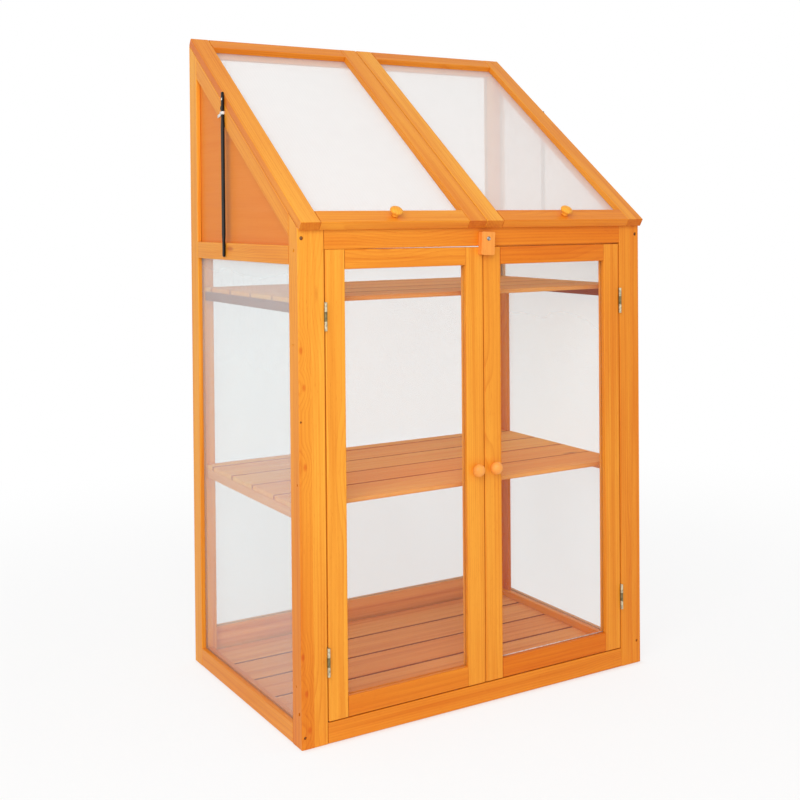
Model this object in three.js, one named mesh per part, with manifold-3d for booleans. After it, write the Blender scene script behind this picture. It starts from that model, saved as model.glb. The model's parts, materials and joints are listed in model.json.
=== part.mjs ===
// A wooden mini greenhouse: a glazed cold frame with two front doors, two sloping lids and slatted shelves.
// Millimetres, X to the right, Y to the back, Z up. It is built with x = 0 at the left face, y = 0 at the
// front face and z = 0 on the ground, and the last lines move it onto the middle of its base.

import * as THREE from "three";
import { mergeVertices } from "three/addons/utils/BufferGeometryUtils.js";
import Module from "manifold-3d";

const wasm = await Module();
wasm.setup();

// The carcass as a whole; the heights are those of its front and back faces under the lids
const width = 700;
const depth = 500;
const frontHeight = 839;
const backHeight = 1187;

// Fits and edges
const seam = 0.3; // gap between pieces that touch
const weld = 0.001; // points closer than this are one
const overrun = 5; // how far a cutter passes what it cuts
const arris = 1.5; // radius of the eased edges of the wood
const arcSteps = 2;
const roundSides = 20;

// Posts
const frontPostWide = 46;
const frontPostDeep = 36;
const rearPostWide = 30;
const rearPostDeep = 38;
const cornerBattenThick = 7.5; // stands on the front of the right rear post, up to the upper shelf
const cornerBattenDeep = 32;

// Rails of the two side frames
const sideRailThick = 22;
const lowRailTall = 33;
const midRailTall = 31;
const midRailSetDown = 28; // from the height of the front down to its top
const gableRailDeep = { left: 32, right: 20 }; // square to their slope

// Twin-wall sheets and the gable board, which all sit in grooves
const sheetThick = 4;
const boardThick = 6;
const sheetInset = 8; // from the outside of the carcass to a sheet
const tongue = 6; // how far a sheet reaches into its groove

// Back frame
const backRailThick = 18;
const backLowRailTall = 62;
const backTopRailTall = 24;

// Sill and header
const sillTall = 34;
const sillDeep = 36;
const headerTall = 35; // at its front face
const headerDeep = 24;

// Floor and shelves
const slatThick = 8;
const slatWide = 94;
const slatGap = 3;
const slatLeast = 20; // the narrowest slat worth fitting
const battenThick = 18;
const battenTall = 17;
const battenBite = 2; // how far a batten and a slat share their wood in the joined solid
const shelfTops = [385, 724];
const shelfNames = ["shelf_lower", "shelf_upper"];
const shelfSetback = 5; // from the back of the front posts to the first slat
const shelfSideGap = 1;
const floorTop = 20;
const floorSideGap = 1;
const floorBackGap = 4;
const floorFrontGap = 2;
const floorBattenTall = 10;

// Doors
const doorThick = 18;
const doorStileWide = 35;
const doorLowRailTall = 34;
const doorTopRailTall = 31;
const doorSideGap = 2;
const doorEndGap = 2;
const doorMeetGap = 1.6;
const doorSheetInset = 9;
const doorKnobHeight = 413;

// Turned knobs
const knobStemRadius = 6;
const knobHeadRadius = 11.2;
const doorKnobTall = 20;
const lidKnobTall = 16;
const knobFace = 6.5; // radius of the flat on the end
const knobStemShare = 0.3; // shares of a knob's height, to the end of the stem and over the rim
const knobRimLowShare = 0.5;
const knobRimHighShare = 0.68;

// Hinges, all of rolled sheet with a fixed pin
const knuckleRadius = 2.5;
const pinRadius = 1.2;
const boreGap = 0.3;
const leafThick = 0.6;
const leafSeat = 0.2; // gap between a leaf and the wood
const doorLeafWide = 14;
const doorHingeTall = 47;
const doorHingeRise = 76; // from the top of the sill to the foot of the low hinge
const doorHingeDrop = 132; // from the bottom of the header to the foot of the high hinge
const doorHingeNames = ["low", "high"];
const doorKnuckles = 3;
const lidLeafWide = 12;
const lidHingeInset = 30; // from the side of the carcass to the end of the long hinge
const lidKnuckles = 17;

// Lids
const lidThick = 16;
const lidStileWide = 35;
const lidLowRailWide = 33;
const lidTopRailWide = 31;
const lidMeetGap = 1.2;
const lidNose = 7; // how far a lid reaches past the front face, along its slope
const lidSheetDrop = 12; // from the top of a lid down to its sheet, which lies in a rebate from below

// Stays on the outer edges of the lids
const stayWide = 9;
const stayThick = 4;
const stayGap = 0.5;
const stayPivotBack = 318.5; // from the front face
const stayHeads = { left: 13, right: 6.5 }; // from the pivot up to the end
const stayFootRise = 5.4; // from the bottom of the mid rail up to its low end
const stayNotchDrop = 16; // from the pivot down to the catch
const stayNotchRadius = 4;
const stayNotchProud = 2;

// Turn button on the header
const buttonWide = 29;
const buttonThick = 12;
const buttonHead = 12; // above its screw
const buttonReach = 29; // below its screw
const buttonCorner = 5;
const buttonOffset = 4; // from the middle of the front
const buttonScrewRise = 13; // above the bottom of the header
const buttonTiltDegrees = 3;

// Worked out from the sizes above
const rise = (backHeight - frontHeight) / depth;
const slope = Math.atan(rise);
const lidLength = depth / Math.cos(slope) + lidNose;
const sheetInner = sheetInset + sheetThick;
const rearPostFront = depth - rearPostDeep;
const midRailTop = frontHeight - midRailSetDown;
const midRailBottom = midRailTop - midRailTall;
const backTopRailBottom = backHeight - backTopRailTall;
const headerBottom = frontHeight - headerTall;
const doorHingeFeet = [sillTall + doorHingeRise, headerBottom - doorHingeDrop];
const axisOut = knuckleRadius + seam; // from a face to the axis of the hinge in front of it

const finishes = {
  pine: { color: 0xf0a052, roughness: 0.45, metalness: 0 },
  ply: { color: 0xe08b42, roughness: 0.55, metalness: 0 },
  sheet: { color: 0xf1f3f1, roughness: 0.25, metalness: 0, transparent: true, opacity: 0.45 },
  shelf: { color: 0xd79a66, roughness: 0.6, metalness: 0 },
  zinc: { color: 0xb4b6b8, roughness: 0.35, metalness: 1 },
  black: { color: 0x1c1c1e, roughness: 0.5, metalness: 0.2 },
};

const axisNames = ["x", "y", "z"];
const unitAxes = axisNames.map((name, place) => new THREE.Vector3().setComponent(place, 1));
const [unitX, unitY, unitZ] = unitAxes;

// The place in a point of the named axis, and of the two that follow it
function placesFrom(along) {
  const first = axisNames.indexOf(along);
  return [first, (first + 1) % axisNames.length, (first + 2) % axisNames.length];
}

// Height of the carcass under the lids at a distance from the front face
function heightAt(y) {
  return frontHeight + y * rise;
}

// A closed geometry as a solid that can be cut and joined
function solidOf(geometry) {
  const bare = new THREE.BufferGeometry();
  bare.setAttribute("position", geometry.getAttribute("position"));
  bare.setIndex(geometry.index);
  const merged = mergeVertices(bare, weld);
  return new wasm.Manifold(
    new wasm.Mesh({
      numProp: 3,
      vertProperties: merged.getAttribute("position").array,
      triVerts: new Uint32Array(merged.index.array),
    }),
  );
}

function geometryOf(solid) {
  const mesh = solid.getMesh();
  const indexed = new THREE.BufferGeometry();
  indexed.setAttribute("position", new THREE.BufferAttribute(mesh.vertProperties, mesh.numProp));
  indexed.setIndex(new THREE.BufferAttribute(mesh.triVerts, 1));
  const geometry = indexed.toNonIndexed();
  geometry.computeVertexNormals();
  return geometry;
}

// A flat outline pushed along one axis; its own x and y follow the two axes that come next
function extruded(shape, along, from, to) {
  const geometry = new THREE.ExtrudeGeometry(shape, {
    depth: to - from,
    bevelEnabled: false,
    curveSegments: arcSteps,
  });
  const [first, next, last] = placesFrom(along);
  const turn = new THREE.Matrix4().makeBasis(unitAxes[next], unitAxes[last], unitAxes[first]);
  turn.setPosition(unitAxes[first].clone().multiplyScalar(from));
  return solidOf(geometry.applyMatrix4(turn));
}

function polygon(points) {
  return new THREE.Shape(points.map(([x, y]) => new THREE.Vector2(x, y)));
}

function roundedRectangle(x0, y0, x1, y1, radius) {
  const shape = new THREE.Shape();
  const corners = [
    [x1 - radius, y0 + radius, -Math.PI / 2],
    [x1 - radius, y1 - radius, 0],
    [x0 + radius, y1 - radius, Math.PI / 2],
    [x0 + radius, y0 + radius, Math.PI],
  ];
  for (const [x, y, start] of corners) {
    shape.absarc(x, y, radius, start, start + Math.PI / 2, false);
  }
  shape.closePath();
  return shape;
}

// A square-edged block between two opposite corners
function block(low, high) {
  const outline = [
    [low[0], low[1]],
    [high[0], low[1]],
    [high[0], high[1]],
    [low[0], high[1]],
  ];
  return extruded(polygon(outline), "z", low[2], high[2]);
}

// A planed bar between two opposite corners, with its long edges eased
function bar(low, high, along) {
  const [first, next, last] = placesFrom(along);
  const radius = Math.min(arris, (high[next] - low[next]) / 4, (high[last] - low[last]) / 4);
  const outline = roundedRectangle(low[next], low[last], high[next], high[last], radius);
  return extruded(outline, along, low[first], high[first]);
}

// A round rod or hole along Z, centred on the origin
function round(radius, from, to) {
  const geometry = new THREE.CylinderGeometry(radius, radius, to - from, roundSides);
  geometry.rotateX(Math.PI / 2);
  geometry.translate(0, 0, (from + to) / 2);
  return solidOf(geometry);
}

// The box of a sheet, grown by a margin for its groove
function grown(low, high, margin) {
  return block(
    low.map((value) => value - margin),
    high.map((value) => value + margin),
  );
}

function cut(solid, cutters) {
  return cutters.reduce((left, cutter) => left.subtract(cutter), solid);
}

function joined(solids) {
  return solids.reduce((left, right) => left.add(right));
}

function addPiece(group, name, solid, finish) {
  const mesh = new THREE.Mesh(geometryOf(solid), new THREE.MeshStandardMaterial(finish));
  mesh.name = name;
  group.add(mesh);
  return mesh;
}

// A span measured from the left face, or its mirror image from the right face
function across(side, from, to) {
  return side === "left" ? [from, to] : [width - to, width - from];
}

// Everything above the line on which the lids lie
const lidSpace = extruded(
  polygon([
    [-overrun, heightAt(-overrun)],
    [depth + overrun, heightAt(depth + overrun)],
    [-overrun, heightAt(depth + overrun)],
  ]),
  "x",
  -overrun,
  width + overrun,
);

// The batten in the rear right corner, under the upper shelf
const cornerBattenLow = [
  width - sheetInner - seam - cornerBattenThick,
  rearPostFront - cornerBattenDeep,
  lowRailTall + seam,
];
const cornerBattenHigh = [
  width - sheetInner - seam,
  rearPostFront,
  Math.max(...shelfTops) - slatThick - battenTall - seam,
];

// The outline of a gable between its rails and posts, grown by a margin on every side
function gableOutline(side, margin) {
  const underRail = (y) => heightAt(y) + (margin - gableRailDeep[side]) / Math.cos(slope);
  const y0 = frontPostDeep - margin;
  const y1 = rearPostFront + margin;
  return polygon([
    [y0, midRailTop - margin],
    [y1, midRailTop - margin],
    [y1, underRail(y1)],
    [y0, underRail(y0)],
  ]);
}

// Side frame: posts, three rails, the long sheet and the gable, which is a board on the left
function addSide(group, side) {
  const gableThick = side === "left" ? boardThick : sheetThick;
  const gableFinish = side === "left" ? finishes.ply : finishes.sheet;
  const [sheetX0, sheetX1] = across(side, sheetInset, sheetInner);
  const [gableX0, gableX1] = across(side, sheetInset, sheetInset + gableThick);
  const sheetLow = [sheetX0, frontPostDeep - tongue, lowRailTall - tongue];
  const sheetHigh = [sheetX1, rearPostFront + tongue, midRailBottom + tongue];
  const gable = extruded(gableOutline(side, tongue), "x", gableX0, gableX1);
  const sheetGroove = grown(sheetLow, sheetHigh, seam);
  const gableGroove = extruded(gableOutline(side, tongue + seam), "x", gableX0 - seam, gableX1 + seam);

  const [frontX0, frontX1] = across(side, 0, frontPostWide);
  const frontPost = bar([frontX0, 0, 0], [frontX1, frontPostDeep, heightAt(frontPostDeep)], "z");
  addPiece(group, `front_post_${side}`, cut(frontPost, [lidSpace, sheetGroove, gableGroove]), finishes.pine);

  const [rearX0, rearX1] = across(side, 0, rearPostWide);
  const rearPost = bar([rearX0, rearPostFront, 0], [rearX1, depth, backHeight], "z");
  const rearWood = side === "left" ? rearPost : rearPost.add(block(cornerBattenLow, cornerBattenHigh));
  const rearCuts = [lidSpace, sheetGroove, gableGroove, backGroove];
  addPiece(group, `rear_post_${side}`, cut(rearWood, rearCuts), finishes.pine);

  const [railX0, railX1] = across(side, 0, sideRailThick);
  const [railY0, railY1] = [frontPostDeep + seam, rearPostFront - seam];
  const lowRail = bar([railX0, railY0, 0], [railX1, railY1, lowRailTall], "y");
  addPiece(group, `side_low_rail_${side}`, cut(lowRail, [sheetGroove]), finishes.pine);
  const midRail = bar([railX0, railY0, midRailBottom], [railX1, railY1, midRailTop], "y");
  addPiece(group, `side_mid_rail_${side}`, cut(midRail, [sheetGroove, gableGroove]), finishes.pine);
  const railDrop = gableRailDeep[side] / Math.cos(slope);
  const gableRail = extruded(
    polygon([
      [railY0, heightAt(railY0) - railDrop],
      [railY1, heightAt(railY1) - railDrop],
      [railY1, heightAt(railY1)],
      [railY0, heightAt(railY0)],
    ]),
    "x",
    railX0,
    railX1,
  );
  addPiece(group, `gable_rail_${side}`, cut(gableRail, [gableGroove]), finishes.pine);

  addPiece(group, `side_sheet_${side}`, block(sheetLow, sheetHigh), finishes.sheet);
  addPiece(group, `gable_panel_${side}`, gable, gableFinish);
}

// Back frame between the rear posts
const backSheetLow = [
  rearPostWide - tongue,
  depth - sheetInset - sheetThick,
  backLowRailTall - tongue,
];
const backSheetHigh = [
  width - rearPostWide + tongue,
  depth - sheetInset,
  backTopRailBottom + tongue,
];
const backGroove = grown(backSheetLow, backSheetHigh, seam);

function addBack(group) {
  const [x0, x1] = [rearPostWide + seam, width - rearPostWide - seam];
  const y0 = depth - backRailThick;
  const lowRail = bar([x0, y0, 0], [x1, depth, backLowRailTall], "x");
  addPiece(group, "back_low_rail", cut(lowRail, [backGroove]), finishes.pine);
  const topRail = bar([x0, y0, backTopRailBottom], [x1, depth, backHeight], "x");
  addPiece(group, "back_top_rail", cut(topRail, [backGroove, lidSpace]), finishes.pine);
  addPiece(group, "back_sheet", block(backSheetLow, backSheetHigh), finishes.sheet);
}

// Sill and header between the front posts
function addFront(group) {
  const [x0, x1] = [frontPostWide + seam, width - frontPostWide - seam];
  addPiece(group, "sill", bar([x0, 0, 0], [x1, sillDeep, sillTall], "x"), finishes.pine);
  const header = bar([x0, 0, headerBottom], [x1, headerDeep, heightAt(headerDeep)], "x");
  addPiece(group, "header", cut(header, [lidSpace]), finishes.pine);
}

// Slats from the first edge on, full ones while they fit and then what is left before the last edge
function slatSpans(first, last) {
  const way = Math.sign(last - first);
  const spans = [];
  for (let near = first; (last - near) * way > slatLeast; near += way * (slatWide + slatGap)) {
    const far = near + way * Math.min(slatWide, Math.abs(last - near));
    spans.push([Math.min(near, far), Math.max(near, far)]);
  }
  return spans;
}

// Slats across two battens, one joined solid
function slattedDeck(x0, x1, top, spans, battenSpan, tall) {
  const under = top - slatThick;
  const slats = spans.map(([y0, y1]) => block([x0, y0, under], [x1, y1, top]));
  const battens = [
    [x0, x0 + battenThick],
    [x1 - battenThick, x1],
  ].map(([from, to]) =>
    block([from, battenSpan[0], under - tall], [to, battenSpan[1], under + battenBite]),
  );
  return joined([...slats, ...battens]);
}

function addDecks(group) {
  const floorX = sideRailThick + floorSideGap;
  const floorSpans = slatSpans(depth - backRailThick - floorBackGap, sillDeep + floorFrontGap);
  const floorEnds = [sillDeep + floorFrontGap, depth - backRailThick - floorBackGap];
  const floor = slattedDeck(floorX, width - floorX, floorTop, floorSpans, floorEnds, floorBattenTall);
  const postSpaces = ["left", "right"].map((side) => {
    const [from, to] = across(side, 0, rearPostWide);
    return grown([from, rearPostFront, 0], [to, depth, floorTop], seam);
  });
  addPiece(group, "floor", cut(floor, postSpaces), finishes.shelf);
  const shelfX = sheetInner + shelfSideGap;
  const shelfSpans = slatSpans(frontPostDeep + shelfSetback, rearPostFront - seam);
  const shelfEnds = [frontPostDeep + seam, rearPostFront - seam];
  const notch = grown(cornerBattenLow, cornerBattenHigh, seam);
  shelfTops.forEach((top, i) => {
    const shelf = slattedDeck(shelfX, width - shelfX, top, shelfSpans, shelfEnds, battenTall);
    addPiece(group, shelfNames[i], cut(shelf, [notch]), finishes.shelf);
  });
}

// A turned knob that stands on z = 0
function knob(tall) {
  const profile = [
    [0, 0],
    [knobStemRadius, 0],
    [knobStemRadius, knobStemShare * tall],
    [knobHeadRadius, knobRimLowShare * tall],
    [knobHeadRadius, knobRimHighShare * tall],
    [knobFace, tall],
    [0, tall],
  ].map(([x, y]) => new THREE.Vector2(x, y));
  const geometry = new THREE.LatheGeometry(profile, roundSides);
  geometry.rotateX(Math.PI / 2);
  return solidOf(geometry);
}

// One half of a hinge with its axis on Z, a flat leaf on the wood and some of the knuckles
function hingeHalf({ length, knuckles, isMine, leafX, leafFrom, leafTo, leafWide, pinned }) {
  const pitch = length / knuckles;
  const leaf = block([leafX, axisOut, leafFrom], [leafX + leafThick, axisOut + leafWide, leafTo]);
  const mine = [...Array(knuckles).keys()].filter(isMine);
  const spans = mine.map((i) => [i * pitch + seam / 2, (i + 1) * pitch - seam / 2]);
  const rolls = spans.flatMap(([from, to]) => [
    round(knuckleRadius, from, to),
    block([leafX, 0, from], [leafX + leafThick, axisOut + leafThick, to]),
  ]);
  const body = joined([leaf, ...rolls]);
  if (pinned) {
    return body.add(round(pinRadius, seam, length - seam));
  }
  return body.subtract(round(pinRadius + boreGap, -overrun, length + overrun));
}

// Door frame with its sheet, knob and the moving halves of its hinges
function addDoor(group, side) {
  const x0 = frontPostWide + doorSideGap;
  const x1 = width / 2 - doorMeetGap / 2;
  const [z0, z1] = [sillTall + doorEndGap, headerBottom - doorEndGap];
  const [innerX0, innerX1] = [x0 + doorStileWide, x1 - doorStileWide];
  const [innerZ0, innerZ1] = [z0 + doorLowRailTall, z1 - doorTopRailTall];
  const [sheetX0, sheetX1] = across(side, innerX0 - tongue, innerX1 + tongue);
  const sheetLow = [sheetX0, doorSheetInset, innerZ0 - tongue];
  const sheetHigh = [sheetX1, doorSheetInset + sheetThick, innerZ1 + tongue];
  const groove = grown(sheetLow, sheetHigh, seam);
  const addBar = (name, from, to, bottom, top, along) => {
    const [low, high] = across(side, from, to);
    const wood = bar([low, 0, bottom], [high, doorThick, top], along);
    addPiece(group, `door_${name}_${side}`, cut(wood, [groove]), finishes.pine);
  };
  addBar("hinge_stile", x0, innerX0, z0, z1, "z");
  addBar("meeting_stile", innerX1, x1, z0, z1, "z");
  addBar("low_rail", innerX0 + seam, innerX1 - seam, z0, innerZ0, "x");
  addBar("top_rail", innerX0 + seam, innerX1 - seam, innerZ1, z1, "x");
  addPiece(group, `door_sheet_${side}`, block(sheetLow, sheetHigh), finishes.sheet);

  const [knobX] = across(side, x1 - doorStileWide / 2, x1 - doorStileWide / 2);
  const handle = addPiece(group, `door_knob_${side}`, knob(doorKnobTall), finishes.pine);
  handle.position.set(knobX, -seam, doorKnobHeight);
  handle.rotation.x = Math.PI / 2;
}

// Butt hinges in the gap beside a door; the half on the post carries the pin
function addDoorHinges(group, side) {
  const reach = doorSideGap / 2 - leafSeat;
  const shared = {
    length: doorHingeTall,
    knuckles: doorKnuckles,
    leafFrom: 0,
    leafTo: doorHingeTall,
    leafWide: doorLeafWide,
  };
  const [axisX] = across(side, frontPostWide + doorSideGap / 2, frontPostWide + doorSideGap / 2);
  doorHingeFeet.forEach((foot, i) => {
    const hinge = new THREE.Group();
    hinge.position.set(axisX, -axisOut, side === "left" ? foot : foot + doorHingeTall);
    hinge.rotation.y = side === "left" ? 0 : Math.PI;
    const onPost = hingeHalf({ ...shared, isMine: (k) => k % 2 === 0, leafX: -reach, pinned: true });
    const onDoor = hingeHalf({ ...shared, isMine: (k) => k % 2 === 1, leafX: reach - leafThick });
    addPiece(hinge, `door_hinge_post_half_${doorHingeNames[i]}_${side}`, onPost, finishes.zinc);
    addPiece(hinge, `door_hinge_door_half_${doorHingeNames[i]}_${side}`, onDoor, finishes.zinc);
    group.add(hinge);
  });
}

// A lid in its own frame: y runs up the slope to its back end at 0, and z stands square to the lid
function addLid(group, side) {
  const x1 = width / 2 - lidMeetGap / 2;
  const [innerX0, innerX1] = [lidStileWide, x1 - lidStileWide];
  const [innerY0, innerY1] = [lidLowRailWide - lidLength, -lidTopRailWide];
  const [sheetX0, sheetX1] = across(side, innerX0 - tongue, innerX1 + tongue);
  const sheetTop = lidThick - lidSheetDrop;
  const sheetLow = [sheetX0, innerY0 - tongue, sheetTop - sheetThick];
  const sheetHigh = [sheetX1, innerY1 + tongue, sheetTop];
  const groove = grown(sheetLow, sheetHigh, seam);
  const addBar = (name, from, to, front, back, along) => {
    const [low, high] = across(side, from, to);
    const wood = bar([low, front, 0], [high, back, lidThick], along);
    addPiece(group, `lid_${name}_${side}`, cut(wood, [groove]), finishes.pine);
  };
  addBar("outer_stile", 0, innerX0, -lidLength, 0, "y");
  addBar("inner_stile", innerX1, x1, -lidLength, 0, "y");
  addBar("low_rail", innerX0 + seam, innerX1 - seam, -lidLength, innerY0, "x");
  addBar("top_rail", innerX0 + seam, innerX1 - seam, innerY1, 0, "x");
  addPiece(group, `lid_sheet_${side}`, block(sheetLow, sheetHigh), finishes.sheet);

  const [knobX] = across(side, x1 / 2, x1 / 2);
  const handle = addPiece(group, `lid_knob_${side}`, knob(lidKnobTall), finishes.pine);
  handle.position.set(knobX, lidLowRailWide / 2 - lidLength, lidThick + seam);
}

// One long hinge across the back: a fixed strip with the pin, and a moving strip for each lid
const lidHinge = {
  length: width - 2 * lidHingeInset,
  knuckles: lidKnuckles,
  leafWide: lidLeafWide,
};
const middleKnuckle = (lidKnuckles - 1) / 2;
const lidLeafLength = (middleKnuckle * lidHinge.length) / lidKnuckles;
const lidLeafX = axisOut - leafSeat - leafThick;

function addLidHingeStrip(group) {
  const strip = hingeHalf({
    ...lidHinge,
    isMine: (k) => k % 2 === 0,
    leafX: -lidLeafX - leafThick,
    leafFrom: 0,
    leafTo: lidHinge.length,
    pinned: true,
  });
  const mesh = addPiece(group, "lid_hinge_fixed_strip", strip, finishes.zinc);
  mesh.position.set(width - lidHingeInset, depth + axisOut, backHeight + axisOut * Math.tan(slope / 2));
  const turn = new THREE.Matrix4().makeBasis(
    unitY,
    unitZ.clone().negate(),
    unitX.clone().negate(),
  );
  mesh.quaternion.setFromRotationMatrix(turn);
}

function addLidHingeHalf(group, side) {
  const isLeft = side === "left";
  const half = hingeHalf({
    ...lidHinge,
    isMine: (k) => k % 2 === 1 && k > middleKnuckle === isLeft,
    leafX: lidLeafX,
    leafFrom: isLeft ? lidHinge.length - lidLeafLength : 0,
    leafTo: isLeft ? lidHinge.length : lidLeafLength,
  });
  const mesh = addPiece(group, `lid_hinge_moving_strip_${side}`, half, finishes.zinc);
  mesh.position.set(width - lidHingeInset, axisOut, -seam - axisOut * Math.tan(slope / 2));
  const turn = new THREE.Matrix4().makeBasis(
    unitY.clone().negate(),
    unitZ,
    unitX.clone().negate(),
  );
  mesh.quaternion.setFromRotationMatrix(turn);
}

// A flat stay that hangs from the outer edge of a lid, with a small catch behind its pivot
function addStay(group, side) {
  const half = stayWide / 2;
  const pivotHeight = heightAt(stayPivotBack) + lidThick / 2 / Math.cos(slope);
  const stayReach = pivotHeight - midRailBottom - stayFootRise;
  const outline = new THREE.Shape();
  outline.absarc(0, stayHeads[side] - half, half, 0, Math.PI, false);
  outline.absarc(0, half - stayReach, half, Math.PI, 2 * Math.PI, false);
  outline.closePath();
  const [x0, x1] = across(side, -stayGap - stayThick, -stayGap);
  const strap = extruded(outline, "x", x0, x1);
  const catchGeometry = new THREE.CylinderGeometry(stayNotchRadius, stayNotchRadius, stayThick, roundSides);
  catchGeometry.rotateZ(Math.PI / 2);
  catchGeometry.translate((x0 + x1) / 2, half - stayNotchRadius + stayNotchProud, -stayNotchDrop);
  const stay = addPiece(group, `lid_stay_${side}`, strap.add(solidOf(catchGeometry)), finishes.black);
  stay.position.set(0, stayPivotBack, pivotHeight);
}

// Turn button that keeps both doors shut
function addTurnButton(group) {
  const half = buttonWide / 2;
  const outline = roundedRectangle(-buttonReach, -half, buttonHead, half, buttonCorner);
  const solid = extruded(outline, "y", -seam - buttonThick, -seam);
  const button = addPiece(group, "turn_button", solid, finishes.pine);
  button.position.set(width / 2 + buttonOffset, 0, headerBottom + buttonScrewRise);
  button.rotation.y = -THREE.MathUtils.degToRad(buttonTiltDegrees);
}

const greenhouse = new THREE.Group();
for (const side of ["left", "right"]) {
  addSide(greenhouse, side);
}
addBack(greenhouse);
addFront(greenhouse);
addDecks(greenhouse);
addLidHingeStrip(greenhouse);
for (const side of ["left", "right"]) {
  addDoor(greenhouse, side);
  addDoorHinges(greenhouse, side);
  addStay(greenhouse, side);
  const lid = new THREE.Group();
  lid.position.set(0, depth - seam * Math.sin(slope), backHeight + seam * Math.cos(slope));
  lid.rotation.x = slope;
  addLid(lid, side);
  addLidHingeHalf(lid, side);
  greenhouse.add(lid);
}
addTurnButton(greenhouse);

const bounds = new THREE.Box3().setFromObject(greenhouse, true);
const middle = bounds.getCenter(new THREE.Vector3());
greenhouse.position.set(-middle.x, -middle.y, -bounds.min.z);

const object = new THREE.Group();
object.add(greenhouse);

export default object;
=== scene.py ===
import json
import math
import random

import bmesh
import bpy
from mathutils import Matrix, Vector


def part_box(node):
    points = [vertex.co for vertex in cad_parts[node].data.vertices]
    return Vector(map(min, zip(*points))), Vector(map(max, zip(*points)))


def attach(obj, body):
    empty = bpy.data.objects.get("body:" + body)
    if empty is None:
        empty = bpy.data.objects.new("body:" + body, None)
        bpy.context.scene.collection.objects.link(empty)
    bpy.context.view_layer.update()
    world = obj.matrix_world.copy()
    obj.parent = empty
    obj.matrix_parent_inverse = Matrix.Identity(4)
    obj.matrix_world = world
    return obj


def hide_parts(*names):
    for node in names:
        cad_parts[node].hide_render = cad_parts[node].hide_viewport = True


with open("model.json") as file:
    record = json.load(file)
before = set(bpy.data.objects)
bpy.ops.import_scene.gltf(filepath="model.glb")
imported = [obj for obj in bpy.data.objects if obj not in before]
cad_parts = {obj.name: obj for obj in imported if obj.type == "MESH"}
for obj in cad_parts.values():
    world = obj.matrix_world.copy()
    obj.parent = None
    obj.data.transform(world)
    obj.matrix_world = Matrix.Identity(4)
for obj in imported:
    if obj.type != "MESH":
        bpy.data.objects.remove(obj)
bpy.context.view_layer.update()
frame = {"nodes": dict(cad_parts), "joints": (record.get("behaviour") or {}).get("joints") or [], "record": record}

mm = 0.001
bodyOf = {node: body for body, nodes in frame["record"]["behaviour"]["bodies"].items() for node in nodes}
sides = ("left", "right")
print("frame loaded,", len(frame["nodes"]), "nodes")


# the greenhouse's few driving sizes, as in the part
house = {
    "width": 700 * mm,
    "depth": 500 * mm,
    "frontHeight": 839 * mm,
    "backHeight": 1187 * mm,
    "seam": 0.3 * mm,
}
slope = math.atan2(house["backHeight"] - house["frontHeight"], house["depth"])
alongX = Vector((1, 0, 0))
alongY = Vector((0, 1, 0))
alongZ = Vector((0, 0, 1))
upSlope = Vector((0, math.cos(slope), math.sin(slope)))
offSlope = Vector((0, -math.sin(slope), math.cos(slope)))


def middleOf(node):
    low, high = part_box(node)
    return (low + high) / 2


def camel(name):
    first, *rest = name.split("_")
    return first + "".join(word.capitalize() for word in rest)


# shader maths


# a socket on which sums can be written; each sum lays down a Math node
class Wire:
    def __init__(self, shader, socket):
        self.shader = shader
        self.socket = socket

    def __add__(self, other):
        return self.shader.maths("ADD", self, other)

    def __radd__(self, other):
        return self.shader.maths("ADD", other, self)

    def __sub__(self, other):
        return self.shader.maths("SUBTRACT", self, other)

    def __rsub__(self, other):
        return self.shader.maths("SUBTRACT", other, self)

    def __mul__(self, other):
        return self.shader.maths("MULTIPLY", self, other)

    def __rmul__(self, other):
        return self.shader.maths("MULTIPLY", other, self)

    def __truediv__(self, other):
        return self.shader.maths("DIVIDE", self, other)

    def __rtruediv__(self, other):
        return self.shader.maths("DIVIDE", other, self)

    def __pow__(self, other):
        return self.shader.maths("POWER", self, other)

    def __rpow__(self, other):
        return self.shader.maths("POWER", other, self)


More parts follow.
